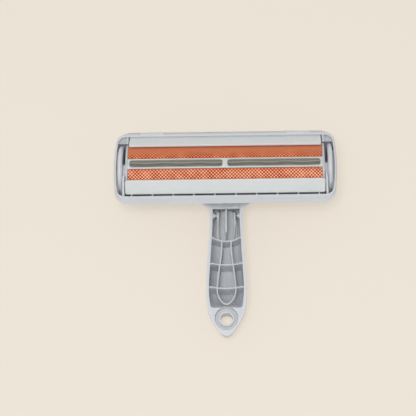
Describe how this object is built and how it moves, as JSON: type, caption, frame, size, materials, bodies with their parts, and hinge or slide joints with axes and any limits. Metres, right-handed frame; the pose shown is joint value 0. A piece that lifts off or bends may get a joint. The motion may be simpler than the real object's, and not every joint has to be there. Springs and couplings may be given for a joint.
{
  "type": "lint roller",
  "caption": "Reusable two-way pet-hair and lint roller: a rocking nap-covered drum in a wide head, with a dust chamber lid, a release button and a ribbed handle with a hanging hole.",
  "frame": {"origin": "middle of the overall length and width, at the plane the roller lies on", "axes": "+X along the drum, +Y away from the handle, +Z out of the working face"},
  "size_m": [0.2, 0.1852, 0.0597],
  "materials": {
    "shell": "moulded ABS, fine satin",
    "button": "moulded ABS, fine satin",
    "drum": "moulded ABS",
    "bar": "moulded ABS, satin",
    "plate": "moulded ABS, satin",
    "nap": "woven directional nap",
    "wiper_nap": "woven nap pad",
    "scraper": "moulded soft rubber",
    "pin": "drawn steel",
    "spring": "spring wire"
  },
  "bodies": {
    "frame": {"housing": "shell", "wiper_plate_far": "plate", "wiper_plate_near": "plate", "wiper_pad_far": "wiper_nap", "wiper_pad_near": "wiper_nap", "bearing_cheek_left": "shell", "bearing_cheek_right": "shell", "axle_pin_left": "pin", "axle_pin_right": "pin", "lid_hinge_pin_left": "pin", "lid_hinge_pin_right": "pin"},
    "drum": {"drum_body": "drum", "blade_bar": "bar", "nap_strip_far": "nap", "nap_strip_near": "nap", "drum_end_left": "drum", "drum_end_right": "drum", "rubber_blade_left": "scraper", "rubber_blade_right": "scraper"},
    "lid": {"back_lid": "shell"},
    "button": {"release_button": "button", "button_spring": "spring"}
  },
  "joints": [
    {"name": "drum_rock", "type": "hinge", "parent": "frame", "child": "drum", "pos_m": [0, 0.05785, 0.0352], "axis": [1, 0, 0], "range_deg": [-22.6, 13.4]},
    {"name": "lid_hinge", "type": "hinge", "parent": "frame", "child": "lid", "pos_m": [0, 0.09065, 0.0432], "axis": [1, 0, 0], "range_deg": [0, 100]},
    {"name": "button_press", "type": "hinge", "parent": "frame", "child": "button", "pos_m": [0, 0.01925, 0.0222], "axis": [-1, 0, 0], "range_deg": [0, 7], "stiffness_Nm_per_rad": 0.5, "springref_deg": -6.88}
  ]
}
